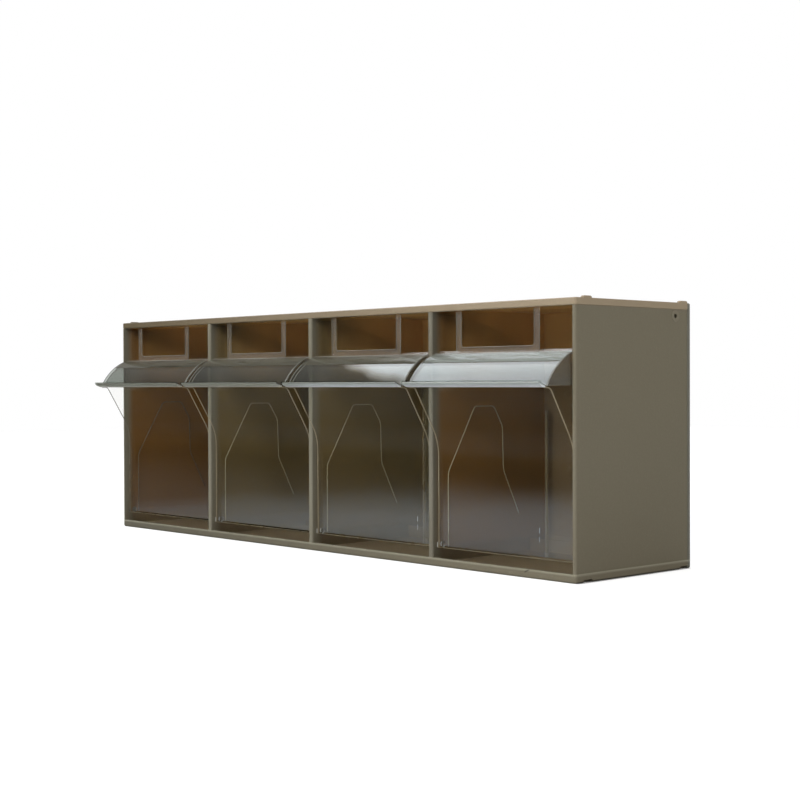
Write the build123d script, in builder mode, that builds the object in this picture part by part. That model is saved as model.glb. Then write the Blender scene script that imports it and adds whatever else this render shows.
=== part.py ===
from build123d import *
import math
import os

os.makedirs("parts", exist_ok=True)

# Four-bay tip-out bin cabinet. Sizes are in millimetres and angles in degrees.
# X runs along the row of bins, the front faces -Y and +Z is up. The origin is on the table, at the
# middle of the cabinet's base. A setback is a distance behind the cabinet's front plane.

# Housing
width = 600.0
depth = 135.0
height = 204.8
bay_count = 4
floor_thickness = 3.0
roof_thickness = 3.0
rail_height = 6.4
band_height = 5.4
rail_thickness = 3.0
end_thickness = 2.6
end_inset = 0.3
end_edge_radius = 2.0
partition_thickness = 5.0
partition_edge_radius = 1.6
back_thickness = 3.7
groove_depth = 1.0
tongue_thickness = 1.4
tongue_length = 2.0
seat_clearance = 0.1
corner_radius = 2.4
lower_edge_radius = 1.6
band_edge_chamfer = 0.6

# Stacking lugs on the roof and their notches in the base
lug_length = 8.6
lug_width = 3.2
lug_height = 1.6
lug_front_setback = 13.7
lug_rear_margin = 8.1
lug_round = 1.2
notch_clearance = 0.6

# Round boss on each end panel, and the screw holes through the back
boss_radius = 4.4
boss_height = 0.3
boss_hole_radius = 1.8
boss_hole_depth = 2.2
boss_setback = 116.4
boss_drop = 10.5
wall_hole_radius = 2.25
wall_hole_drop = 22.8

# Bins
bin_side_gap = 0.6
bin_rear_gap = 4.6
bin_wall = 2.0
bin_floor_height = 13.5
bin_toe_radius = 2.5
bin_heel_radius = 6.0
panel_setback = 4.5
bin_edge_chamfer = 0.6
rear_wall_height = 148.0

# Nose: a curved canopy above, a slanted wall below and a curled lip between them. The lip's root is
# measured from the foot of the canopy: how far down and how far back the slanted wall begins.
canopy_top_height = 167.4
canopy_bulge = 4.4
canopy_blend = 1.5
nose_reach = 26.5
lip_root_height = 142.0
lip_root_drop = 1.8
lip_root_width = 5.6
slant_head_blend = 4.0
slant_foot_height = 97.8
slant_foot_blend = 40.0
lip_offset = 0.5
lip_thickness = 2.1
lip_curl_radius = 9.5
lip_curl_angle = 50.0

# Label frame on the upper panel, open at the top, with a slot for a card behind it. The frame's foot is
# a little below the canopy's top and the card's foot a little above it.
label_width = 86.0
label_bar = 5.2
label_sill = 4.8
label_drop = 1.2
label_reach = 3.4
label_shift = -3.0
label_corner_radius = 3.0
card_thickness = 1.0
card_margin = 2.2
card_rise = 2.0

# Raised stiffening pad inside each side wall: its foot's setbacks and its other corners, from front to
# rear, as setback and height
pad_height = 0.6
pad_corner_radius = 3.0
pad_foot_setbacks = (14.5, 106.0)
pad_corners = [(14.5, 73.0), (44.5, 125.0), (66.5, 125.0), (76.5, 108.5), (77.5, 73.0)]

# Hinge pins, rests and stops
pin_radius = 2.5
pin_setback = 11.5
pin_centre_height = 16.5
pin_engagement = 1.8
pin_clearance = 0.08
pin_end_clearance = 0.2
pin_chamfer = 0.4
rest_thickness = 2.4
rest_setback = 114.0
rest_gap = 0.3
tilt_range = 38.0
stop_gap_angle = 0.2
stop_overlap = 1.6
sweep_clearance = 2.5

# Places worked out from the sizes above
front_y = -depth / 2
back_y = depth / 2
back_face_y = back_y - back_thickness
shell_depth = depth - back_thickness
shell_centre_y = front_y + shell_depth / 2
end_outer_x = width / 2 - end_inset
end_inner_x = end_outer_x - end_thickness
bay_width = (2 * end_inner_x - (bay_count - 1) * partition_thickness) / bay_count
bay_pitch = bay_width + partition_thickness
bay_centres = [(i - (bay_count - 1) / 2) * bay_pitch for i in range(bay_count)]
partition_centres = [(i - (bay_count - 2) / 2) * bay_pitch for i in range(bay_count - 1)]
band_bottom = height - band_height
roof_underside = height - roof_thickness
end_centre_x = (end_inner_x + end_outer_x) / 2
lug_setbacks = [lug_front_setback, depth - lug_rear_margin]
lug_centre_x = width / 2 - lug_width / 2
boss_centre_height = height - boss_drop
wall_hole_height = height - wall_hole_drop
pin_y = front_y + pin_setback
socket_depth = pin_engagement + pin_end_clearance
socket_radius = pin_radius + pin_clearance
bin_width = bay_width - 2 * bin_side_gap
bin_inner_x = bin_width / 2 - bin_wall
bin_front_y = front_y + panel_setback
bin_back_y = back_face_y - bin_rear_gap
lip_underside_height = lip_root_height - lip_root_drop
slant_head_reach = nose_reach - lip_root_width
label_foot_height = canopy_top_height - label_drop
card_foot_height = canopy_top_height + card_rise

# A bin swings inside a circle about its pins that clears the lower inner edge of the roof band.
# The horns at the rear of its side walls stand outside that circle and meet the band.
stop_edge_y = front_y + rail_thickness - pin_y
stop_edge_z = band_bottom - pin_centre_height
stop_edge_radius = math.hypot(stop_edge_y, stop_edge_z)
sweep_radius = stop_edge_radius - sweep_clearance
horn_radius = stop_edge_radius + stop_overlap
horn_angle = math.degrees(math.atan2(stop_edge_z, stop_edge_y)) - tilt_range - stop_gap_angle


# Base: floor, rails on the front and sides, notches, partition grooves and rear rests
with BuildPart() as base_panel:
    with BuildSketch() as base_plan:
        with Locations((0, shell_centre_y)):
            Rectangle(width, shell_depth)
        fillet(base_plan.vertices().group_by(Axis.Y)[0], corner_radius)
    extrude(amount=rail_height)
    fillet(base_panel.faces().sort_by(Axis.Z)[0].edges() - base_panel.edges().group_by(Axis.Y)[-1],
           lower_edge_radius)
    with BuildSketch(Plane.XY.offset(floor_thickness)):
        with Locations((0, shell_centre_y + rail_thickness / 2)):
            Rectangle(2 * end_inner_x, shell_depth - rail_thickness)
    extrude(amount=rail_height, mode=Mode.SUBTRACT)
    with BuildSketch(Plane.XY.offset(floor_thickness - groove_depth)):
        with Locations([(x, shell_centre_y + rail_thickness / 2) for x in partition_centres]):
            Rectangle(partition_thickness + 2 * seat_clearance, shell_depth - rail_thickness)
    extrude(amount=rail_height, mode=Mode.SUBTRACT)
    with BuildSketch(Plane.XY.offset(rail_height - tongue_length - seat_clearance)):
        with Locations((-end_centre_x, shell_centre_y), (end_centre_x, shell_centre_y)):
            Rectangle(tongue_thickness + 2 * seat_clearance, shell_depth - 2 * rail_thickness)
    extrude(amount=rail_height, mode=Mode.SUBTRACT)
    with BuildSketch():
        with Locations([(side * lug_centre_x, front_y + setback)
                        for side in (-1, 1) for setback in lug_setbacks]):
            Rectangle(lug_width + 2 * notch_clearance, lug_length + 2 * notch_clearance)
    extrude(amount=lug_height + notch_clearance, mode=Mode.SUBTRACT)
    with BuildSketch(Plane.XY.offset(floor_thickness)):
        with Locations([(x, front_y + rest_setback) for x in bay_centres]):
            Rectangle(bay_width - 2 * seat_clearance, rest_thickness)
    extrude(amount=bin_floor_height - rest_gap - floor_thickness)
base_panel.part.label = "base_panel"

# Roof: a plate with bands on the front and sides, partition grooves and stacking lugs
with BuildPart() as roof_panel:
    with BuildSketch(Plane.XY.offset(band_bottom)) as roof_plan:
        with Locations((0, shell_centre_y)):
            Rectangle(width, shell_depth)
        fillet(roof_plan.vertices().group_by(Axis.Y)[0], corner_radius)
    extrude(amount=band_height)
    for face in (roof_panel.faces().sort_by(Axis.Z)[0], roof_panel.faces().sort_by(Axis.Z)[-1]):
        chamfer(face.edges() - roof_panel.edges().group_by(Axis.Y)[-1], band_edge_chamfer)
    with BuildSketch(Plane.XY.offset(roof_underside)):
        with Locations((0, shell_centre_y + rail_thickness / 2)):
            Rectangle(2 * end_inner_x, shell_depth - rail_thickness)
    extrude(amount=-band_height, mode=Mode.SUBTRACT)
    with BuildSketch(Plane.XY.offset(roof_underside + groove_depth)):
        with Locations([(x, shell_centre_y + rail_thickness / 2) for x in partition_centres]):
            Rectangle(partition_thickness + 2 * seat_clearance, shell_depth - rail_thickness)
    extrude(amount=-band_height, mode=Mode.SUBTRACT)
    with BuildSketch(Plane.XY.offset(band_bottom + tongue_length + seat_clearance)):
        with Locations((-end_centre_x, shell_centre_y), (end_centre_x, shell_centre_y)):
            Rectangle(tongue_thickness + 2 * seat_clearance, shell_depth - 2 * rail_thickness)
    extrude(amount=-band_height, mode=Mode.SUBTRACT)
    with BuildSketch(Plane.XY.offset(height - band_edge_chamfer)):
        with Locations([(side * lug_centre_x, front_y + setback)
                        for side in (-1, 1) for setback in lug_setbacks]):
            Rectangle(lug_width, lug_length)
    extrude(amount=band_edge_chamfer + lug_height)
    fillet(roof_panel.faces().group_by(Axis.Z)[-1].edges(), lug_round)
roof_panel.part.label = "roof_panel"

# Right end panel: tongues into rail and band, a rounded front edge, the boss and a pin socket
with BuildPart() as right_end_panel:
    with BuildSketch(Plane.XY.offset(rail_height)) as end_plan:
        with Locations((end_centre_x, shell_centre_y)):
            Rectangle(end_thickness, shell_depth)
        fillet(end_plan.vertices().group_by(Axis.Y)[0].sort_by(Axis.X)[-1], end_edge_radius)
    extrude(amount=band_bottom - rail_height)
    with BuildSketch(Plane.XY.offset(rail_height - tongue_length)):
        with Locations((end_centre_x, shell_centre_y)):
            Rectangle(tongue_thickness, shell_depth - 2 * rail_thickness - 2 * seat_clearance)
    extrude(amount=band_bottom - rail_height + 2 * tongue_length)
    with BuildSketch(Plane.YZ.offset(end_outer_x)):
        with Locations((front_y + boss_setback, boss_centre_height)):
            Circle(boss_radius)
    extrude(amount=boss_height)
    with BuildSketch(Plane.YZ.offset(end_outer_x + boss_height)):
        with Locations((front_y + boss_setback, boss_centre_height)):
            Circle(boss_hole_radius)
    extrude(amount=-boss_hole_depth, mode=Mode.SUBTRACT)
    with BuildSketch(Plane.YZ.offset(end_inner_x)):
        with Locations((pin_y, pin_centre_height)):
            Circle(socket_radius)
    extrude(amount=socket_depth, mode=Mode.SUBTRACT)
right_end_panel.part.label = "right_end_panel"

# Left end panel: the mirror image of the right one
with BuildPart() as left_end_panel:
    add(right_end_panel.part)
    mirror(about=Plane.YZ, mode=Mode.REPLACE)
left_end_panel.part.label = "left_end_panel"

# Back: one plate over the whole rear, grooved for the partitions, with two wall screw holes
with BuildPart() as back_panel:
    with BuildSketch(Plane.XZ.offset(-back_face_y)) as back_plan:
        with Locations((0, height / 2)):
            Rectangle(width, height)
        fillet(back_plan.vertices(), lower_edge_radius)
    extrude(amount=-back_thickness)
    chamfer(back_panel.faces().sort_by(Axis.Y)[-1].edges(), band_edge_chamfer)
    with BuildSketch(Plane.XZ.offset(-back_face_y)):
        with Locations([(x, (floor_thickness + roof_underside) / 2) for x in partition_centres]):
            Rectangle(partition_thickness + 2 * seat_clearance, roof_underside - floor_thickness)
    extrude(amount=-groove_depth, mode=Mode.SUBTRACT)
    with BuildSketch(Plane.XZ.offset(-back_face_y)):
        with Locations((bay_centres[0], wall_hole_height), (bay_centres[-1], wall_hole_height)):
            Circle(wall_hole_radius)
    extrude(amount=-back_thickness, mode=Mode.SUBTRACT)
back_panel.part.label = "back_panel"

# Partition: a plate in the grooves of floor, roof and back, notched over the front rail and band
with BuildPart() as partition:
    with BuildSketch(Plane.YZ) as partition_outline:
        with BuildLine():
            Polyline(
                (front_y, rail_height),
                (front_y + rail_thickness, rail_height),
                (front_y + rail_thickness, floor_thickness - groove_depth),
                (back_face_y, floor_thickness - groove_depth),
                (back_face_y, floor_thickness),
                (back_face_y + groove_depth, floor_thickness),
                (back_face_y + groove_depth, roof_underside),
                (back_face_y, roof_underside),
                (back_face_y, roof_underside + groove_depth),
                (front_y + rail_thickness, roof_underside + groove_depth),
                (front_y + rail_thickness, band_bottom),
                (front_y, band_bottom),
                close=True,
            )
        make_face()
    extrude(amount=partition_thickness / 2, both=True)
    fillet(partition.faces().sort_by(Axis.Y)[0].edges().filter_by(Axis.Z), partition_edge_radius)
    for side in (-1, 1):
        with BuildSketch(Plane.YZ.offset(side * partition_thickness / 2)):
            with Locations((pin_y, pin_centre_height)):
                Circle(socket_radius)
        extrude(amount=-side * socket_depth, mode=Mode.SUBTRACT)


def at_angle(radius, angle):
    """A point in the YZ plane, at this distance and angle from the hinge pins."""
    turn = math.radians(angle)
    return (pin_y + radius * math.cos(turn), pin_centre_height + radius * math.sin(turn))


# Side view of a bin without its lip, drawn flat with Y to the right and Z up. It is taller than the
# bin: the circle that the bin swings in cuts it off.
canopy_top = (bin_front_y, canopy_top_height)
lip_root = (front_y - nose_reach, lip_root_height)
slant_head = (front_y - slant_head_reach, lip_underside_height)
slant_foot = (bin_front_y, slant_foot_height)
toe = (bin_front_y, bin_floor_height)
heel = (bin_back_y, bin_floor_height)
with BuildSketch() as bin_outline:
    with BuildLine():
        Line((bin_front_y, height), canopy_top)
        SagittaArc(canopy_top, lip_root, -canopy_bulge)
        Polyline(lip_root, (lip_root[0], lip_underside_height), slant_head, slant_foot, toe, heel)
        Polyline(heel, (bin_back_y, height), (bin_front_y, height))
    make_face()
    for corner, blend in (
        (canopy_top, canopy_blend),
        (slant_head, slant_head_blend),
        (slant_foot, slant_foot_blend),
        (toe, bin_toe_radius),
        (heel, bin_heel_radius),
    ):
        fillet(bin_outline.vertices().sort_by_distance(corner)[0], blend)

# Side view of the stiffening pad, standing on the bin's floor
pad_foot_height = bin_floor_height + bin_wall
with BuildSketch() as pad_outline:
    with BuildLine():
        Polyline(
            (front_y + pad_foot_setbacks[0], pad_foot_height),
            *[(front_y + setback, corner_height) for setback, corner_height in pad_corners],
            (front_y + pad_foot_setbacks[1], pad_foot_height),
            close=True,
        )
    make_face()
    fillet(pad_outline.vertices().group_by(Axis.Y)[1:], pad_corner_radius)

# Bin: a shell of that outline, open at the top, with its lip, label frame, pads, horns and pins
with BuildPart() as tilt_bin:
    with BuildSketch(Plane.YZ):
        add(bin_outline.sketch)
    extrude(amount=bin_width / 2, both=True)
    chamfer(tilt_bin.faces().filter_by(Axis.X).edges(), bin_edge_chamfer)
    with BuildSketch(Plane.YZ):
        add(bin_outline.sketch)
        offset(amount=-bin_wall, mode=Mode.REPLACE)
    extrude(amount=bin_inner_x, both=True, mode=Mode.SUBTRACT)
    with BuildSketch(Plane.YZ):
        with BuildLine():
            lip_line = CenterArc(
                (front_y - nose_reach - lip_offset, lip_underside_height + lip_curl_radius),
                lip_curl_radius - lip_thickness / 2,
                270 - lip_curl_angle,
                lip_curl_angle,
            )
        SlotArc(lip_line, lip_thickness)
    extrude(amount=bin_width / 2 - bin_edge_chamfer, both=True)
    with BuildSketch(Plane.XZ.offset(-bin_front_y)) as label_frame:
        with Locations((label_shift, (label_foot_height + height) / 2)):
            Rectangle(label_width, height - label_foot_height)
        fillet(label_frame.vertices().group_by(Axis.Y)[0], label_corner_radius)
        with BuildSketch(mode=Mode.SUBTRACT) as label_window:
            with Locations((label_shift, (label_foot_height + label_sill + height) / 2)):
                Rectangle(label_width - 2 * label_bar, height - label_foot_height - label_sill)
            fillet(label_window.vertices().group_by(Axis.Y)[0], label_corner_radius)
    extrude(amount=label_reach)
    with BuildSketch(Plane.XZ.offset(-bin_front_y)):
        with Locations((label_shift, (card_foot_height + height) / 2)):
            Rectangle(label_width - 2 * label_bar + 2 * card_margin, height - card_foot_height)
    extrude(amount=card_thickness, mode=Mode.SUBTRACT)
    for side in (-1, 1):
        with BuildSketch(Plane.YZ.offset(side * bin_inner_x)):
            add(pad_outline.sketch)
        extrude(amount=-side * pad_height)
    with BuildSketch(Plane.YZ):
        with Locations((pin_y, pin_centre_height)):
            Circle(horn_radius)
    extrude(amount=bin_width / 2, both=True, mode=Mode.INTERSECT)
    with BuildSketch(Plane.YZ):
        with BuildLine():
            swing_arc = CenterArc((pin_y, pin_centre_height), sweep_radius, horn_angle, 90)
            Polyline(
                swing_arc @ 1,
                at_angle(2 * horn_radius, horn_angle + 90),
                at_angle(2 * horn_radius, horn_angle),
                swing_arc @ 0,
            )
        make_face()
    extrude(amount=bin_width / 2, both=True, mode=Mode.SUBTRACT)
    with BuildSketch(Plane.XY.offset(rear_wall_height)):
        with Locations((0, bin_back_y)):
            Rectangle(2 * bin_inner_x, 4 * bin_wall)
    extrude(amount=height, mode=Mode.SUBTRACT)
    for side in (-1, 1):
        with BuildSketch(Plane.YZ.offset(side * bin_width / 2)):
            with Locations((pin_y, pin_centre_height)):
                Circle(pin_radius)
        extrude(amount=side * (bin_side_gap + pin_engagement))
        chamfer(tilt_bin.faces().sort_by(Axis.X)[min(side, 0)].edges(), pin_chamfer)

for piece in (base_panel, roof_panel, left_end_panel, right_end_panel, back_panel):
    export_step(piece.part, f"parts/{piece.part.label}.step")

# The repeated pieces, numbered from left to right
for name, piece, places in (
    ("partition", partition.part, partition_centres),
    ("bin", tilt_bin.part, bay_centres),
):
    for number, x in enumerate(places, start=1):
        placed = piece.moved(Location((x, 0, 0)))
        placed.label = f"{name}_{number}"
        export_step(placed, f"parts/{placed.label}.step")
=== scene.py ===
import bpy
import math
from mathutils import Euler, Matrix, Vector


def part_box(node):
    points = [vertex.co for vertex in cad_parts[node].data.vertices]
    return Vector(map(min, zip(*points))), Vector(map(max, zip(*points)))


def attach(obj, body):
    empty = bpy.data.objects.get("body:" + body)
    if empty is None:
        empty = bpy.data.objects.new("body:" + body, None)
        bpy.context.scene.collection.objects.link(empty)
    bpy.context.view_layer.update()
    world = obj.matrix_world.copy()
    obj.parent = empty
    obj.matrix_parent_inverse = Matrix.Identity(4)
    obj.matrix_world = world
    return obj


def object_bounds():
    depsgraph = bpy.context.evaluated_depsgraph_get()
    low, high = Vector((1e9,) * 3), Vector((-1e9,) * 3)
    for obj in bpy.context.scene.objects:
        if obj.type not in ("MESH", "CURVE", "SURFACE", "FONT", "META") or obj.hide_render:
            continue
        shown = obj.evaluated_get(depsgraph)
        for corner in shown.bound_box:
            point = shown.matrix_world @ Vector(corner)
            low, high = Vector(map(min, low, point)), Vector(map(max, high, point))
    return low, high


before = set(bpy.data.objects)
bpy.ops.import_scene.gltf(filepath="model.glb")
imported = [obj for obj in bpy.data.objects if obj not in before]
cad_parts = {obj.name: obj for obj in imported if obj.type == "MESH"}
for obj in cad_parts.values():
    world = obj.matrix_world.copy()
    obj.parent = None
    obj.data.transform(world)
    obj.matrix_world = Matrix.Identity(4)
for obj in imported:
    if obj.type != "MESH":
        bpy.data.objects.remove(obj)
cad_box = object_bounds()

BIN_NODES = ["bin_1", "bin_2", "bin_3", "bin_4"]

# Camera at the photograph's viewing angle: place in metres, turns in radians
CAMERA_PLACE = (0.9925, -0.8710, 0.1443)
CAMERA_YAW = 0.8294
CAMERA_PITCH = -0.0119
CAMERA_ROLL = -0.0032
CAMERA_LENS_MM = 66.615
CAMERA_SENSOR_MM = 36.0
CAMERA_CLIP_START = 0.01

# Lengths are in metres, and a pair that a mask uses says where the mask starts and ends

# The cabinet's height, how far in from each outer face its inner tones begin, and how far
# before its right side the outside's painted shade, darker towards the row's left, ends
CABINET_HEIGHT = 0.2048
INSIDE_FROM_FRONT = (0.002, 0.012)
INSIDE_FROM_SIDE = (0.0026, 0.0028)
INSIDE_FROM_ROOF = (0.0014, 0.0024)
INSIDE_FROM_BACK = (0.0006, 0.0014)
INSIDE_FROM_BASE = (0.0006, 0.0014)
FAR_SHADE_END = 0.08

# The cabinet's inner tones and painted light and shade, as distances from the middle, setbacks
# behind the front and heights
BAY_DIVIDE = (0.149, 0.153)
HIGH_REAR_SETBACKS = (0.015, 0.065)
HIGH_REAR_HEIGHTS = (0.145, 0.175)
NOSE_LIGHT_SETBACKS = (0.010, 0.030)
NOSE_LIGHT_FOOT = (0.136, 0.144)
NOSE_LIGHT_HEAD = (0.164, 0.168)
BELOW_BIN_SHADE_HEIGHTS = (0.0125, 0.0160)

# The cabinet's painted light and shade: the highlight on the rail's edge and the shadow along the
# right side's foot, the shade in the front rail's nick, placed by x and height, and the end bosses'
# highlight and shade, placed by setback and height
RIM_FOOT = (0.0046, 0.0062)
RIM_HEAD = (0.0066, 0.0068)
FOOT_SHADOW_HEIGHTS = (0.0007, 0.0014)
FOOT_SHADOW_DEPTH = (0.0004, 0.0010)
NICK_PLACE = (0.2525, 0.0052)
NICK_SLOPE = 0.45
NICK_WIDTH = (0.0003, 0.0008)
NICK_LENGTH = (0.0016, 0.0028)
NICK_DEPTH = (0.0010, 0.0020)
BOSS_PLACE = (0.1164, 0.1943)
BOSS_RING_INNER = (0.0018, 0.0022)
BOSS_RING_OUTER = (0.0042, 0.0048)
BOSS_HOLE = (0.0017, 0.0019)
BOSS_HOLE_DEPTH = (0.0002, 0.0008)

# The bins' side view, as setbacks behind the cabinet's front plane and heights
CANOPY_CENTRE = (0.0165, 0.1211)
CANOPY_RADIUS = 0.0478
CANOPY_TOP = (0.0045, 0.1674)
BROW_ANGLES = (105.5, 125.6)
BROW_INSETS = (0.0005, 0.0008)
CHEEK_INSET = 0.0010
CHEEK_REAR = 0.0100
LIP_ROOT = (-0.0265, 0.1420)
LIP_FOOT = (-0.0265, 0.1402)
LIP_CURL_CENTRE = (-0.0270, 0.1497)
LIP_CURL_RADIUS = 0.00845
LIP_CURL_ANGLES = (221.0, 269.0)
LIP_CORE_THICKNESS = 0.0013
SLANT_HEAD = (-0.0209, 0.1402)
SLANT_FOOT = (0.0045, 0.0978)
SLANT_REACHES = (0.0023, 0.0111)
TOE = (0.0047, 0.0145)
TOE_GLINT_HEIGHTS = (0.0146, 0.0185)
HEEL_SETBACK = 0.1245
HEEL_HEIGHTS = (0.0160, 0.1200)
HEEL_GLINT_SETBACK = 0.1220
HEEL_GLINT_HEIGHTS = (0.0170, 0.0215)
PIN_PLACE = (0.0115, 0.0165)
PIN_RADIUS = 0.0024
PIN_GLINTS = [(130.0, 220.0), (265.0, 330.0)]
PAD_LINE = [(0.0145, 0.0155), (0.0145, 0.0730), (0.0445, 0.1250), (0.0665, 0.1250),
            (0.0765, 0.1085), (0.0775, 0.0730), (0.0960, 0.0357)]
PAD_CORNER_RADIUS = 0.003

# The bins' skin and tones, as setbacks, heights and places along the row
CANOPY_SETBACKS = (-0.0005, 0.0005)
ABOVE_LIP_HEIGHTS = (0.1412, 0.1422)
SLANT_SKIN_HEIGHTS = (0.076, 0.088)
UNDERSIDE_HEIGHTS = (0.0134, 0.0142)
BEHIND_FRONT_SETBACKS = (0.0070, 0.0110)
FLOOR_SKIN_HEIGHTS = (0.0172, 0.0182)
LIP_TIP_SETBACKS = (-0.0310, -0.0280)
LIP_TIP_HEIGHTS = (0.1431, 0.1437)
LIP_LIT_FROM = (-0.02, 0.04)
LAST_BIN_FROM = (0.140, 0.165)
BROW_DIM_HEIGHTS = (0.1600, 0.1635)
BROW_EDGE_HEIGHTS = (0.1662, 0.1668)
OUTLINE_END = (-0.2955, -0.2925)

# The bins' sizes along the row
PIN_REACH = 0.0024
PIN_GLINT_OUTSET = 0.0004
SIDE_WALL = 0.002
PAD_HEIGHT = 0.0006
HEEL_INSET = 0.0060
NOSE_INSET = 0.0010
EDGE_CHAMFER = 0.0006

# Label frame: offset of its middle, width, bars, foot and top, front face, lines and haze
LABEL_SHIFT = -0.003
LABEL_WIDTH = 0.086
LABEL_BAR = 0.0052
LABEL_SILL = 0.0048
LABEL_FOOT = 0.1662
LABEL_TOP = 0.1985
LABEL_FACE = 0.0010
LABEL_CORNER_RADIUS = 0.003
LABEL_LINE_RADIUS = 0.00022
LABEL_HAZE_DEPTHS = (0.0003, 0.0006)

# The floor: its left, right, near and far edges, the dark line under the cabinet, by its reach
# and the open shares between which it fades, and the pale strip that the plastic mirrors, with a
# painted shadow before the cabinet
FLOOR_EDGES = (-3.0, 3.0, -1.45, 3.0)
FLOOR_LINE_REACH = 0.006
FLOOR_LINE_OPEN = (0.58, 0.82)
FLOOR_BESIDE = (0.2990, 0.3000)
STRIP_NEAR = (-0.95, -0.26)
STRIP_FAR = (-0.140, -0.110)
STRIP_LEFT = (-0.60, -0.15)

# The room that the plastic mirrors, as parts of a direction of length 1
OVERHEAD_FROM = (0.05, 0.6)
WINDOW_LEFT = (-0.760, -0.746)
WINDOW_RIGHT = (-0.49, -0.39)
WINDOW_FOOT = (0.18, 0.28)
WINDOW_LEAN = 0.035
WINDOW_STRENGTH = 3.6

front_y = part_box("base_panel")[0][1]
back_y = cad_box[1][1]
roof_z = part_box("base_panel")[0][2] + CABINET_HEIGHT
side_x = (cad_box[1][0] - cad_box[0][0]) / 2


class Tree:
    """Short hand for building one node tree."""

    def __init__(self, tree):
        self.tree = tree
        tree.nodes.clear()

    def node(self, kind, settings=None, **inputs):
        """A node of this kind, with its properties and its inputs set or linked by name."""
        made = self.tree.nodes.new(kind)
        for name, value in (settings or {}).items():
            setattr(made, name, value)
        for name, value in inputs.items():
            self.feed(made.inputs[name.replace("_", " ")], value)
        return made

    def feed(self, socket, value):
        """Link an output to a socket, or set the socket's own value."""
        if isinstance(value, bpy.types.NodeSocket):
            self.tree.links.new(value, socket)
        else:
            socket.default_value = value

    def noise(self, place, scale, detail=2.0, roughness=0.5):
        """A noise texture's value, from 0 to 1."""
        made = self.node("ShaderNodeTexNoise", Vector=place,
                         Scale=scale, Detail=detail, Roughness=roughness)
        return made.outputs["Fac"]

    def spread(self, value, low, high, start=0.0, end=1.0, smooth=False):
        """A value from start to end spread from low to high."""
        settings = {"interpolation_type": "SMOOTHSTEP" if smooth else "LINEAR"}
        made = self.node("ShaderNodeMapRange", settings, Value=value,
                         From_Min=start, From_Max=end, To_Min=low, To_Max=high)
        return made.outputs["Result"]

    def rise(self, value, start, end, most=1.0, smooth=False):
        """A mask that is 0 up to start and reaches its most at end."""
        return self.spread(value, 0.0, most, start, end, smooth)

    def fall(self, value, start, end, most=1.0):
        """A mask that is at its most up to start and 0 from end."""
        return self.spread(value, most, 0.0, start, end)

    def math(self, operation, *values):
        """One Math node's result."""
        made = self.node("ShaderNodeMath", {"operation": operation})
        for socket, value in zip(made.inputs, values):
            self.feed(socket, value)
        return made.outputs[0]

    def product(self, first, *others):
        """Some masks multiplied together."""
        for other in others:
            first = self.math("MULTIPLY", first, other)
        return first

    def parts(self, vector):
        """A vector's three components."""
        return self.node("ShaderNodeSeparateXYZ", Vector=vector).outputs

    def stretch(self, vector, scale):
        """A vector scaled along each axis."""
        return self.node("ShaderNodeMapping", Vector=vector, Scale=scale).outputs["Vector"]

    def mix_colour(self, share, first, second):
        """A mix of two colours."""
        made = self.node("ShaderNodeMix", {"data_type": "RGBA"})
        self.feed(made.inputs[0], share)
        self.feed(made.inputs[6], first)
        self.feed(made.inputs[7], second)
        return made.outputs[2]

    def mix_shader(self, share, first, second):
        """A mix of two shaders."""
        made = self.node("ShaderNodeMixShader")
        self.feed(made.inputs[0], share)
        self.feed(made.inputs[1], first)
        self.feed(made.inputs[2], second)
        return made.outputs[0]

    def surface(self, shader):
        """Make a shader the material's surface."""
        self.node("ShaderNodeOutputMaterial", Surface=shader)


def past(face, distances):
    """Places at these distances past a face, where the coordinate is greater."""
    return [face + distance for distance in distances]


def short_of(face, distances):
    """Places at these distances short of a face, in rising order."""
    return [face - distance for distance in reversed(distances)]


def srgb(red, green, blue):
    """A colour written in 0 to 255 screen values, as a linear colour."""
    linear = [
        v / 12.92 if v <= 0.04045 else ((v + 0.055) / 1.055) ** 2.4
        for v in (red / 255, green / 255, blue / 255)
    ]
    return (*linear, 1.0)


def new_material(name):
    """A material with an empty node tree and the object's own coordinates in metres."""
    material = bpy.data.materials.new(name)
    material.use_nodes = True
    tree = Tree(material.node_tree)
    place = tree.node("ShaderNodeTexCoord").outputs["Object"]
    return material, tree, place


def bay_brown(tree, place, brown):
    """The brown inside the bays.

    It is olive in the two middle bays; painted light makes it orange high at the rear and greyer
    beside the bins' noses, and painted shade makes it darker and greyer below the bins.
    """
    x, y, z = tree.parts(place)
    middle = tree.fall(tree.math("ABSOLUTE", x), *BAY_DIVIDE, most=0.6)
    shade = tree.mix_colour(middle, brown, srgb(104, 98, 66))
    # Painted light: orange brightening high at the rear of the bays.
    painted_light_high_rear = tree.product(tree.rise(z, *HIGH_REAR_HEIGHTS, most=0.85),
                             tree.rise(y, *past(front_y, HIGH_REAR_SETBACKS)))
    shade = tree.mix_colour(painted_light_high_rear, shade, srgb(216, 164, 94))
    # Painted light: a paler grey beside the bins' noses.
    painted_light_by_nose = tree.product(tree.rise(z, *NOSE_LIGHT_FOOT, most=0.7),
                           tree.fall(z, *NOSE_LIGHT_HEAD),
                           tree.fall(y, *past(front_y, NOSE_LIGHT_SETBACKS)))
    shade = tree.mix_colour(painted_light_by_nose, shade, srgb(168, 156, 136))
    # Painted shade: darker and greyer below the bins.
    return tree.mix_colour(tree.fall(z, *BELOW_BIN_SHADE_HEIGHTS), shade, srgb(104, 90, 68))


def inside_share(tree, place):
    """1 on the faces that look into a bay, and 0 on the cabinet's outside."""
    x, y, z = tree.parts(place)
    return tree.product(
        tree.rise(y, *past(front_y, INSIDE_FROM_FRONT), smooth=True),
        tree.fall(tree.math("ABSOLUTE", x), *short_of(side_x, INSIDE_FROM_SIDE)),
        tree.fall(z, *short_of(roof_z, INSIDE_FROM_ROOF)),
        tree.fall(y, *short_of(back_y, INSIDE_FROM_BACK)),
        tree.rise(z, *INSIDE_FROM_BASE),
    )


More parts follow.
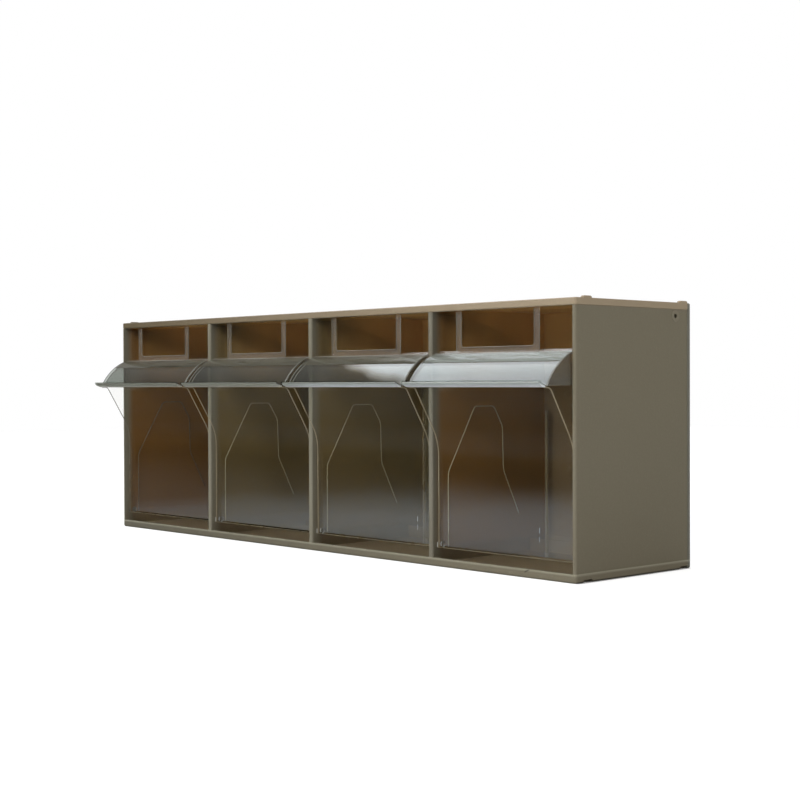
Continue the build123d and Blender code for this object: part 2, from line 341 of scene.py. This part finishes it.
def with_painted_light(tree, place, shade):
    """Painted light and shade outside: highlights on the rail's top edge and boss rings, a shadow
    along the right foot, shade in the nick and boss holes.
    """
    x, y, z = tree.parts(place)
    # Painted highlight along the rail's top edge.
    painted_rim_highlight = tree.product(tree.rise(z, *RIM_FOOT, most=0.6), tree.fall(z, *RIM_HEAD))
    shade = tree.mix_colour(painted_rim_highlight, shade, srgb(172, 168, 148))
    # Painted shadow along the foot of the right side.
    painted_foot_shadow = tree.product(tree.fall(z, *FOOT_SHADOW_HEIGHTS, most=0.85),
                        tree.rise(x, *short_of(side_x, FOOT_SHADOW_DEPTH)))
    shade = tree.mix_colour(painted_foot_shadow, shade, srgb(38, 36, 30))
    # Painted shade in a small nick in the front rail.
    along = tree.math("SUBTRACT", x, NICK_PLACE[0])
    off_line = tree.math("SUBTRACT", tree.math("MULTIPLY", along, NICK_SLOPE),
                         tree.math("SUBTRACT", z, NICK_PLACE[1]))
    painted_nick_shade = tree.product(tree.fall(tree.math("ABSOLUTE", off_line), *NICK_WIDTH, most=0.8),
                        tree.fall(tree.math("ABSOLUTE", along), *NICK_LENGTH),
                        tree.fall(y, *past(front_y, NICK_DEPTH)))
    shade = tree.mix_colour(painted_nick_shade, shade, srgb(48, 44, 32))
    boss_y = tree.math("SUBTRACT", y, front_y + BOSS_PLACE[0])
    boss_z = tree.math("SUBTRACT", z, BOSS_PLACE[1])
    radius = tree.math("SQRT", tree.math("ADD", tree.math("MULTIPLY", boss_y, boss_y),
                                         tree.math("MULTIPLY", boss_z, boss_z)))
    # Painted highlight on the end bosses' rings.
    painted_ring_highlight = tree.product(tree.rise(radius, *BOSS_RING_INNER, most=0.14),
                        tree.fall(radius, *BOSS_RING_OUTER))
    shade = tree.mix_colour(painted_ring_highlight, shade, srgb(168, 160, 144))
    # Painted shade in the end bosses' holes.
    painted_hole_shade = tree.product(tree.fall(radius, *BOSS_HOLE, most=0.4),
                        tree.fall(tree.math("ABSOLUTE", x), *short_of(side_x, BOSS_HOLE_DEPTH)))
    return tree.mix_colour(painted_hole_shade, shade, srgb(40, 36, 26))


def housing_plastic(name, outside, inside, shaded_far_outside=None):
    """Moulded plastic with a fine grain, flow marks and scuffs, browner inside the bays.

    With a far colour, the outside goes from that at the row's left to the other at its right, as
    painted shade that darkens it towards the left.
    """
    material, tree, place = new_material(name)
    cloud = tree.noise(place, 9.0, 3.0)
    speck = tree.noise(place, 900.0, 1.0)
    scuff = tree.noise(tree.stretch(place, (60.0, 420.0, 60.0)), 3.0, 3.0, 0.6)
    enclosed = inside_share(tree, place)
    # Painted shade: the outside darkens towards the row's left.
    along = tree.rise(tree.parts(place)[0], -side_x, side_x - FAR_SHADE_END)
    outer = with_painted_light(tree, place, tree.mix_colour(along, shaded_far_outside or outside, outside))
    shade = tree.mix_colour(enclosed, outer, bay_brown(tree, place, inside))
    shade = tree.mix_colour(tree.spread(cloud, 0.0, 0.16), shade, srgb(90, 84, 66))
    shade = tree.mix_colour(tree.rise(speck, 0.4, 0.9, most=0.05), shade, srgb(186, 180, 160))
    shade = tree.mix_colour(tree.rise(scuff, 0.62, 0.85, most=0.14), shade, srgb(196, 190, 172))
    grain = tree.node("ShaderNodeBump", Strength=tree.spread(enclosed, 0.10, 0.02),
                      Distance=0.0002, Height=tree.noise(place, 1900.0, 2.0))
    waves = tree.node("ShaderNodeBump", Strength=0.10, Distance=0.003,
                      Height=tree.noise(place, 16.0, 1.0), Normal=grain.outputs["Normal"])
    shader = tree.node("ShaderNodeBsdfPrincipled", Base_Color=shade,
                       Roughness=tree.spread(cloud, 0.42, 0.56), Normal=waves.outputs["Normal"])
    tree.surface(shader.outputs[0])
    return material


def clear_plastic():
    """Crystal clear styrene: a clear body under a polished skin, with waves and hairline scuffs.

    The skin is weak on the slanted wall, behind the front, under the floor and at the lip's tip,
    where the photograph shows little gloss.
    """
    material, tree, place = new_material("clear_plastic")
    x, y, z = tree.parts(place)
    hairline = tree.noise(tree.stretch(place, (12.0, 300.0, 300.0)), 2.0, 2.0)
    ripple = tree.node("ShaderNodeBump", Strength=0.30, Distance=0.002,
                       Height=tree.noise(place, 11.0, 1.5))
    above_lip = tree.rise(z, *ABOVE_LIP_HEIGHTS)
    canopy = tree.product(tree.fall(y, *past(front_y, CANOPY_SETBACKS)), above_lip)
    low_skin = tree.product(tree.spread(z, 1.0, 0.12, *SLANT_SKIN_HEIGHTS),
                            tree.spread(z, 0.1, 1.0, *UNDERSIDE_HEIGHTS))
    near_front = tree.spread(y, 1.0, 0.3, *past(front_y, BEHIND_FRONT_SETBACKS))
    skin = tree.product(
        tree.math("MAXIMUM", low_skin, above_lip),
        tree.math("MAXIMUM", near_front, tree.fall(z, *FLOOR_SKIN_HEIGHTS)),
        tree.spread(y, 0.05, 1.0, *past(front_y, LIP_TIP_SETBACKS)),
    )
    shader = tree.node(
        "ShaderNodeBsdfPrincipled",
        Base_Color=tree.mix_colour(canopy, srgb(254, 254, 253), srgb(190, 195, 190)),
        Roughness=tree.rise(hairline, 0.55, 0.85, most=0.03),
        IOR=1.005,
        Transmission_Weight=1.0,
        Coat_Weight=skin,
        Coat_Roughness=0.02,
        Coat_IOR=1.57,
        Coat_Normal=ripple.outputs["Normal"],
    )
    shadow = tree.node("ShaderNodeLightPath").outputs["Is Shadow Ray"]
    film = tree.node("ShaderNodeBsdfTransparent", Color=(0.95, 0.95, 0.94, 1.0))
    tree.surface(tree.mix_shader(shadow, shader.outputs[0], film.outputs[0]))
    return material


def painted_edge_light(name, colour):
    """Painted highlights for the plastic's edges: fine pale lines, dark against white."""
    material, tree, place = new_material(name)
    along = tree.noise(place, 60.0, 2.0)
    against_white = tree.fall(tree.parts(place)[0], *OUTLINE_END)
    tint = tree.mix_colour(against_white, colour, srgb(70, 74, 72))
    tint = tree.mix_colour(tree.spread(along, 0.0, 0.5), tint, srgb(96, 92, 80))
    grain = tree.node("ShaderNodeBump", Strength=0.2, Distance=0.0002,
                      Height=tree.noise(place, 1500.0))
    shader = tree.node("ShaderNodeBsdfPrincipled", Base_Color=tint,
                       Roughness=tree.spread(along, 0.2, 0.4), Normal=grain.outputs["Normal"])
    tree.surface(shader.outputs[0])
    return material


def pale_sheet(name, haze):
    """A faint pale sheet, mostly see-through, that lightens what is seen through it."""
    material, tree, place = new_material(name)
    cloud = tree.noise(tree.stretch(place, (40.0, 40.0, 160.0)), 3.0, 3.0)
    tint = tree.mix_colour(cloud, srgb(134, 126, 116), srgb(156, 148, 138))
    shader = tree.node("ShaderNodeBsdfPrincipled", Base_Color=tint,
                       Roughness=tree.spread(cloud, 0.3, 0.5), Alpha=haze)
    tree.surface(shader.outputs[0])
    return material


def painted_lip_light():
    """The lip's curled edge as a painted highlight, brightest at the right of the row, with painted
    shade at its tip.
    """
    material, tree, place = new_material("painted_lip_light")
    x, y, z = tree.parts(place)
    along = tree.noise(tree.stretch(place, (6.0, 90.0, 90.0)), 4.0, 2.0)
    lit = tree.mix_colour(tree.rise(x, *LIP_LIT_FROM), srgb(184, 180, 168), srgb(236, 237, 240))
    shaded = tree.mix_colour(tree.rise(x, *LAST_BIN_FROM), srgb(86, 82, 72), srgb(140, 138, 134))
    # Painted shade at the lip's tip.
    tint = tree.mix_colour(tree.rise(z, *LIP_TIP_HEIGHTS, most=0.85), lit, shaded)
    tint = tree.mix_colour(tree.spread(along, 0.0, 0.35), tint, srgb(112, 110, 108))
    shader = tree.node("ShaderNodeBsdfPrincipled", Base_Color=tint,
                       Roughness=tree.spread(along, 0.2, 0.4))
    tree.surface(shader.outputs[0])
    return material


def painted_brow_light():
    """A painted highlight along the canopy's thick top, in streaks, brightest at the right of the
    row, with a painted highlight on its top edge.
    """
    material, tree, place = new_material("painted_brow_light")
    x, y, z = tree.parts(place)
    along = tree.noise(tree.stretch(place, (9.0, 160.0, 160.0)), 3.0, 3.0)
    low = tree.fall(z, *BROW_DIM_HEIGHTS, most=0.8)
    dim = tree.mix_colour(low, srgb(104, 98, 85), srgb(80, 75, 63))
    tint = tree.mix_colour(tree.rise(x, *LAST_BIN_FROM), dim, srgb(166, 169, 166))
    tint = tree.mix_colour(tree.rise(along, 0.40, 0.75, most=0.3), tint, srgb(78, 74, 66))
    # Painted highlight on the brow's top edge.
    edge = tree.rise(z, *BROW_EDGE_HEIGHTS, most=0.7)
    tint = tree.mix_colour(edge, tint, srgb(232, 230, 220))
    shader = tree.node("ShaderNodeBsdfPrincipled", Base_Color=tint,
                       Roughness=tree.spread(along, 0.2, 0.4), Alpha=0.8)
    tree.surface(shader.outputs[0])
    return material


def dress(nodes, material):
    """Give each CAD node one material."""
    for name in nodes:
        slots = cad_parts[name].data.materials
        slots.clear()
        slots.append(material)


def rounded(points, reaches, steps=5):
    """The same path with its inner corners rounded, each over this reach before and after it."""
    path = [points[0]]
    for before, corner, after, reach in zip(points, points[1:], points[2:], reaches):
        before, corner, after = Vector(before), Vector(corner), Vector(after)
        start = corner + (before - corner).normalized() * reach
        end = corner + (after - corner).normalized() * reach
        for step in range(steps + 1):
            t = step / steps
            path.append(tuple((1 - t) ** 2 * start + 2 * t * (1 - t) * corner + t ** 2 * end))
    path.append(points[-1])
    return path


def arc(centre, radius, start, end, steps=8):
    """Points on an arc in side view, between two angles in degrees."""
    turns = [math.radians(start + (end - start) * i / steps) for i in range(steps + 1)]
    return [(centre[0] + radius * math.cos(turn), centre[1] + radius * math.sin(turn))
            for turn in turns]


def arc_band(centre, outer_radius, inner_radius, angles):
    """A closed outline in side view, between two arcs around one centre."""
    return (arc(centre, outer_radius, *angles)
            + arc(centre, inner_radius, *angles)[::-1])


def canopy_line(inset):
    """The canopy's arc in side view, drawn in from its surface by an inset."""
    angles = [math.degrees(math.atan2(height - CANOPY_CENTRE[1], setback - CANOPY_CENTRE[0]))
              for setback, height in (CANOPY_TOP, LIP_ROOT)]
    return arc(CANOPY_CENTRE, CANOPY_RADIUS - inset, *angles, steps=14)


def in_side_view(points, x):
    """Side view points, as setback and height, set at one x."""
    return [(x, front_y + setback, height) for setback, height in points]


def in_front_view(points, setback):
    """Front view points, as x and height, set at one setback."""
    return [(x, front_y + setback, height) for x, height in points]


def add_piece(name, data, material, node):
    """A piece of the scene in one material, as part of a bin's clear plastic."""
    data.materials.append(material)
    piece = bpy.data.objects.new(name, data)
    bpy.context.scene.collection.objects.link(piece)
    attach(piece, f"tilt_{node}")


def add_lines(name, paths, radius, material, node):
    """A piece of thin round lines, each along a path."""
    data = bpy.data.curves.new(name, "CURVE")
    data.dimensions = "3D"
    data.bevel_depth = radius
    data.bevel_resolution = 2
    data.use_fill_caps = True
    for path in paths:
        spline = data.splines.new("POLY")
        spline.points.add(len(path) - 1)
        for point, place in zip(spline.points, path):
            point.co = (*place, 1.0)
    add_piece(name, data, material, node)


def add_solid(name, first, second, material, node):
    """A piece with flat ends and straight sides between two outlines of as many points."""
    count = len(first)
    sides = [(i, (i + 1) % count, (i + 1) % count + count, i + count) for i in range(count)]
    ends = [tuple(range(count)), tuple(reversed(range(count, 2 * count)))]
    mesh = bpy.data.meshes.new(name)
    mesh.from_pydata(first + second, [], sides + ends)
    add_piece(name, mesh, material, node)


def add_prism(name, outline, left, right, material, node):
    """A solid piece that runs along the row, with this closed outline in side view."""
    add_solid(name, in_side_view(outline, left), in_side_view(outline, right), material, node)


def add_edges(node, centre, half_width, materials):
    """Painted highlights as fine lines along a bin's edges, stiffening pads, pins and foot."""
    arcs, walls, heels, pads, glints = [], [], [], [], []
    wall = rounded([LIP_FOOT, SLANT_HEAD, SLANT_FOOT, TOE], SLANT_REACHES)
    pad = rounded(PAD_LINE, [PAD_CORNER_RADIUS] * 5)
    heel = [(HEEL_SETBACK, height) for height in HEEL_HEIGHTS]
    toe_glint = [(TOE[0], height) for height in TOE_GLINT_HEIGHTS]
    heel_glint = [(HEEL_GLINT_SETBACK, height) for height in HEEL_GLINT_HEIGHTS]
    for side in (-1, 1):
        outer_x = centre + side * (half_width - EDGE_CHAMFER / 2)
        inner_x = centre + side * (half_width - SIDE_WALL)
        arcs.append(in_side_view(canopy_line(EDGE_CHAMFER / 2), outer_x))
        arcs.append(in_side_view(canopy_line(SIDE_WALL), inner_x))
        walls.append(in_side_view(wall, inner_x))
        heels.append(in_side_view(heel, inner_x - side * HEEL_INSET))
        pads.append(in_side_view(pad, inner_x - side * PAD_HEIGHT))
        for angles in PIN_GLINTS:
            glints.append(in_side_view(arc(PIN_PLACE, PIN_RADIUS, *angles, steps=6),
                                       centre + side * (half_width + PIN_GLINT_OUTSET)))
        glints.append(in_side_view(toe_glint, outer_x))
        glints.append(in_side_view(heel_glint, inner_x))
    toes = [in_front_view([(centre - half_width, TOE[1]), (centre + half_width, TOE[1])], TOE[0])]
    # Painted shade: bin 1's pad lines are a darker, shaded copy.
    pad_material = "dim_pad" if node == BIN_NODES[0] else "pad"
    for part, paths, radius, material in (
        ("canopy_lines", arcs, 0.0003, "edge"),
        ("wall_lines", walls, 0.00036, "wall"),
        ("rear_lines", heels, 0.0011, "rear"),
        ("pad_lines", pads, 0.00035, pad_material),
        ("glints", glints, 0.0003, "glint"),
        ("toe_line", toes, 0.0003, "rear"),
    ):
        add_lines(f"{node}_{part}", paths, radius, materials[material], node)


def add_label_frame(node, centre, materials):
    """Painted highlights as two fine outlines of a bin's label frame, open at the top, and a faint
    pale sheet between them.
    """
    left = centre + LABEL_SHIFT - LABEL_WIDTH / 2
    right = left + LABEL_WIDTH
    sill = LABEL_FOOT + LABEL_SILL
    outline = [(left, LABEL_TOP), (left, LABEL_FOOT), (right, LABEL_FOOT), (right, LABEL_TOP)]
    window = [(left + LABEL_BAR, LABEL_TOP), (left + LABEL_BAR, sill),
              (right - LABEL_BAR, sill), (right - LABEL_BAR, LABEL_TOP)]
    paths = [in_front_view(rounded(path, [LABEL_CORNER_RADIUS] * 2), LABEL_FACE)
             for path in (outline, window)]
    add_lines(f"{node}_label_lines", paths, LABEL_LINE_RADIUS, materials["label"], node)
    faces = [in_front_view(outline + window[::-1], LABEL_FACE + depth)
             for depth in LABEL_HAZE_DEPTHS]
    add_solid(f"{node}_label_haze", *faces, materials["haze"], node)


def add_nose(node, centre, half_width, materials):
    """Painted light on the nose: the lip's bright core, the highlight along the canopy's top and a
    painted reflection on its right cheek.
    """
    left = centre - half_width + NOSE_INSET
    right = centre + half_width - NOSE_INSET
    core = arc_band(LIP_CURL_CENTRE, LIP_CURL_RADIUS + LIP_CORE_THICKNESS / 2,
                    LIP_CURL_RADIUS - LIP_CORE_THICKNESS / 2, LIP_CURL_ANGLES)
    add_prism(f"{node}_lip_core", core, left, right, materials["lip"], node)
    brow = arc_band(CANOPY_CENTRE, CANOPY_RADIUS - BROW_INSETS[0],
                    CANOPY_RADIUS - BROW_INSETS[1], BROW_ANGLES)
    add_prism(f"{node}_brow", brow, left, right, materials["brow"], node)
    # Painted reflection: a faint pale sheet on the bin's right cheek.
    cheek = canopy_line(CHEEK_INSET) + [(CHEEK_REAR, LIP_ROOT[1]),
                                        (CHEEK_REAR, CANOPY_TOP[1] - CHEEK_INSET)]
    wall = centre + half_width - SIDE_WALL
    add_prism(f"{node}_cheek", cheek, wall + CHEEK_INSET / 2, wall + CHEEK_INSET,
              materials["cheek"], node)


def add_camera():
    """The camera, set as the scene's own."""
    data = bpy.data.cameras.new("camera")
    data.lens = CAMERA_LENS_MM
    data.sensor_width = CAMERA_SENSOR_MM
    data.sensor_fit = "HORIZONTAL"
    data.clip_start = CAMERA_CLIP_START
    camera = bpy.data.objects.new("camera", data)
    bpy.context.scene.collection.objects.link(camera)
    turn = Euler((math.pi / 2 + CAMERA_PITCH, 0, CAMERA_YAW), "XYZ").to_matrix().to_4x4()
    roll = Euler((0, 0, CAMERA_ROLL), "XYZ").to_matrix().to_4x4()
    camera.matrix_world = turn @ roll
    camera.location = CAMERA_PLACE
    bpy.context.scene.camera = camera


def seen_directly(tree):
    """1 for what the camera sees, directly or straight through clear plastic, else 0."""
    path = tree.node("ShaderNodeLightPath").outputs
    turns = tree.math("ADD", path["Diffuse Depth"], path["Glossy Depth"])
    return tree.math("LESS_THAN", turns, 0.5)


def add_floor():
    """A plain pale floor, which the camera sees as white with a thin dark line at the cabinet.

    In the plastic's gloss it shows a painted shadow just before the cabinet, then a pale strip,
    dimmer to the left, that fades into the room.
    """
    left, right, near, far = FLOOR_EDGES
    mesh = bpy.data.meshes.new("floor")
    mesh.from_pydata([(left, near, 0), (right, near, 0), (right, far, 0), (left, far, 0)],
                     [], [(0, 1, 2, 3)])
    floor = bpy.data.objects.new("floor", mesh)
    bpy.context.scene.collection.objects.link(floor)
    material, tree, place = new_material("floor_paint")
    x, y, z = tree.parts(place)
    plain = tree.node("ShaderNodeBsdfDiffuse", Color=srgb(226, 229, 232))
    # Painted shadow: in reflections the floor is dark just before the cabinet.
    strip = tree.product(tree.fall(y, *STRIP_FAR), tree.rise(y, *STRIP_NEAR, smooth=True),
                         tree.spread(x, 0.15, 1.0, *STRIP_LEFT))
    strip_colour = tree.mix_colour(strip, srgb(30, 28, 24), srgb(192, 202, 210))
    mirrored = tree.node("ShaderNodeBsdfDiffuse", Color=strip_colour)
    corner = tree.node("ShaderNodeAmbientOcclusion", {"samples": 8}, Distance=FLOOR_LINE_REACH)
    beside = tree.fall(x, *FLOOR_BESIDE, most=0.4)
    open_share = tree.rise(tree.math("ADD", corner.outputs["AO"], beside), *FLOOR_LINE_OPEN)
    white = tree.node("ShaderNodeEmission", Color=(1, 1, 1, 1),
                      Strength=tree.math("MULTIPLY", open_share, 0.80))
    shaded = tree.node("ShaderNodeBsdfDiffuse", Color=(0.34, 0.34, 0.34, 1.0))
    seen_white = tree.node("ShaderNodeAddShader")
    tree.feed(seen_white.inputs[0], white.outputs[0])
    tree.feed(seen_white.inputs[1], shaded.outputs[0])
    glossy_depth = tree.node("ShaderNodeLightPath").outputs["Glossy Depth"]
    gloss = tree.math("GREATER_THAN", glossy_depth, 0.5)
    lit = tree.mix_shader(gloss, plain.outputs[0], mirrored.outputs[0])
    tree.surface(tree.mix_shader(seen_directly(tree), lit, seen_white.outputs[0]))
    mesh.materials.append(material)


def add_softbox(name, place, target, width, height, watts):
    """A rectangular white lamp at a place, turned to a target."""
    data = bpy.data.lights.new(name, "AREA")
    data.shape = "RECTANGLE"
    data.size = width
    data.size_y = height
    data.energy = watts
    lamp = bpy.data.objects.new(name, data)
    bpy.context.scene.collection.objects.link(lamp)
    lamp.location = place
    aim = Vector(target) - Vector(place)
    lamp.rotation_euler = aim.to_track_quat("-Z", "Y").to_euler()


def add_world():
    """White behind the object; around it a dim room, paler overhead, with one broad window."""
    world = bpy.data.worlds.new("studio")
    world.use_nodes = True
    bpy.context.scene.world = world
    tree = Tree(world.node_tree)
    x, y, z = tree.parts(tree.node("ShaderNodeTexCoord").outputs["Generated"])
    overhead = tree.spread(z, 0.02, 0.38, *OVERHEAD_FROM)
    leaning = tree.math("ADD", x, tree.math("MULTIPLY", y, WINDOW_LEAN))
    window = tree.product(tree.rise(leaning, *WINDOW_LEFT), tree.fall(x, *WINDOW_RIGHT),
                          tree.rise(z, *WINDOW_FOOT))
    tone = tree.mix_colour(window, (1.0, 0.96, 0.88, 1.0), (0.90, 0.96, 1.0, 1.0))
    strength = tree.math("ADD", overhead, tree.math("MULTIPLY", window, WINDOW_STRENGTH))
    room = tree.node("ShaderNodeBackground", Color=tone, Strength=strength)
    white = tree.node("ShaderNodeBackground", Color=(1, 1, 1, 1), Strength=1.0)
    tree.node("ShaderNodeOutputWorld",
              Surface=tree.mix_shader(seen_directly(tree), room.outputs[0], white.outputs[0]))


# Painted light and shade: the panels' outside and inside colours are lit or shaded copies, such as
# the lighter roof and the darker inside of the back and right end.
brown = srgb(130, 93, 42)
for nodes, name, *colours in (
    (["base_panel"], "housing_plastic", srgb(117, 109, 90), brown, srgb(98, 93, 78)),
    (["right_end_panel"], "end_plastic", srgb(117, 109, 90), srgb(110, 86, 50)),
    (["partition_1", "partition_2"], "wall_plastic", srgb(127, 121, 104), brown),
    (["left_end_panel"], "left_wall_plastic", srgb(127, 121, 104), srgb(121, 82, 28)),
    (["partition_3"], "dim_wall_plastic", srgb(117, 111, 96), srgb(126, 86, 32)),
    (["roof_panel"], "roof_plastic", srgb(157, 139, 114), srgb(152, 108, 54), srgb(94, 80, 54)),
    (["back_panel"], "back_plastic", srgb(112, 110, 100), srgb(88, 70, 44)),
):
    dress(nodes, housing_plastic(name, *colours))
dress(BIN_NODES, clear_plastic())
# The bins' painted light: highlight lines, glints, the lip's core, the canopy's brow and a
# reflection on each right cheek, with a faint pale sheet in each label frame.
bin_materials = {
    "edge": painted_edge_light("painted_edge_light", srgb(150, 148, 138)),
    "wall": painted_edge_light("wall_edge_plastic", srgb(166, 150, 120)),
    "rear": painted_edge_light("rear_edge_plastic", srgb(112, 98, 68)),
    "pad": painted_edge_light("pad_edge_plastic", srgb(156, 146, 114)),
    "dim_pad": painted_edge_light("dim_pad_edge_plastic", srgb(72, 52, 22)),
    "haze": pale_sheet("pale_sheet", 0.09),
    "cheek": pale_sheet("cheek_painted_reflection", 0.13),
    "label": painted_edge_light("label_edge_plastic", srgb(146, 138, 124)),
    "glint": painted_edge_light("glint_plastic", srgb(222, 222, 214)),
    "lip": painted_lip_light(),
    "brow": painted_brow_light(),
}
for bin_node in BIN_NODES:
    low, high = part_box(bin_node)
    bin_centre = (low[0] + high[0]) / 2
    bin_half_width = high[0] - bin_centre - PIN_REACH
    add_edges(bin_node, bin_centre, bin_half_width, bin_materials)
    add_label_frame(bin_node, bin_centre, bin_materials)
    add_nose(bin_node, bin_centre, bin_half_width, bin_materials)
add_camera()
add_floor()
add_world()
add_softbox("front_lamp", (0.55, -2.0, 1.3), (0.0, 0.0, 0.1), 1.4, 1.0, 30.0)
add_softbox("side_lamp", (2.2, 0.3, 1.2), (0.2, 0.0, 0.1), 1.2, 1.0, 10.0)

bpy.context.scene.view_settings.view_transform = "Standard"
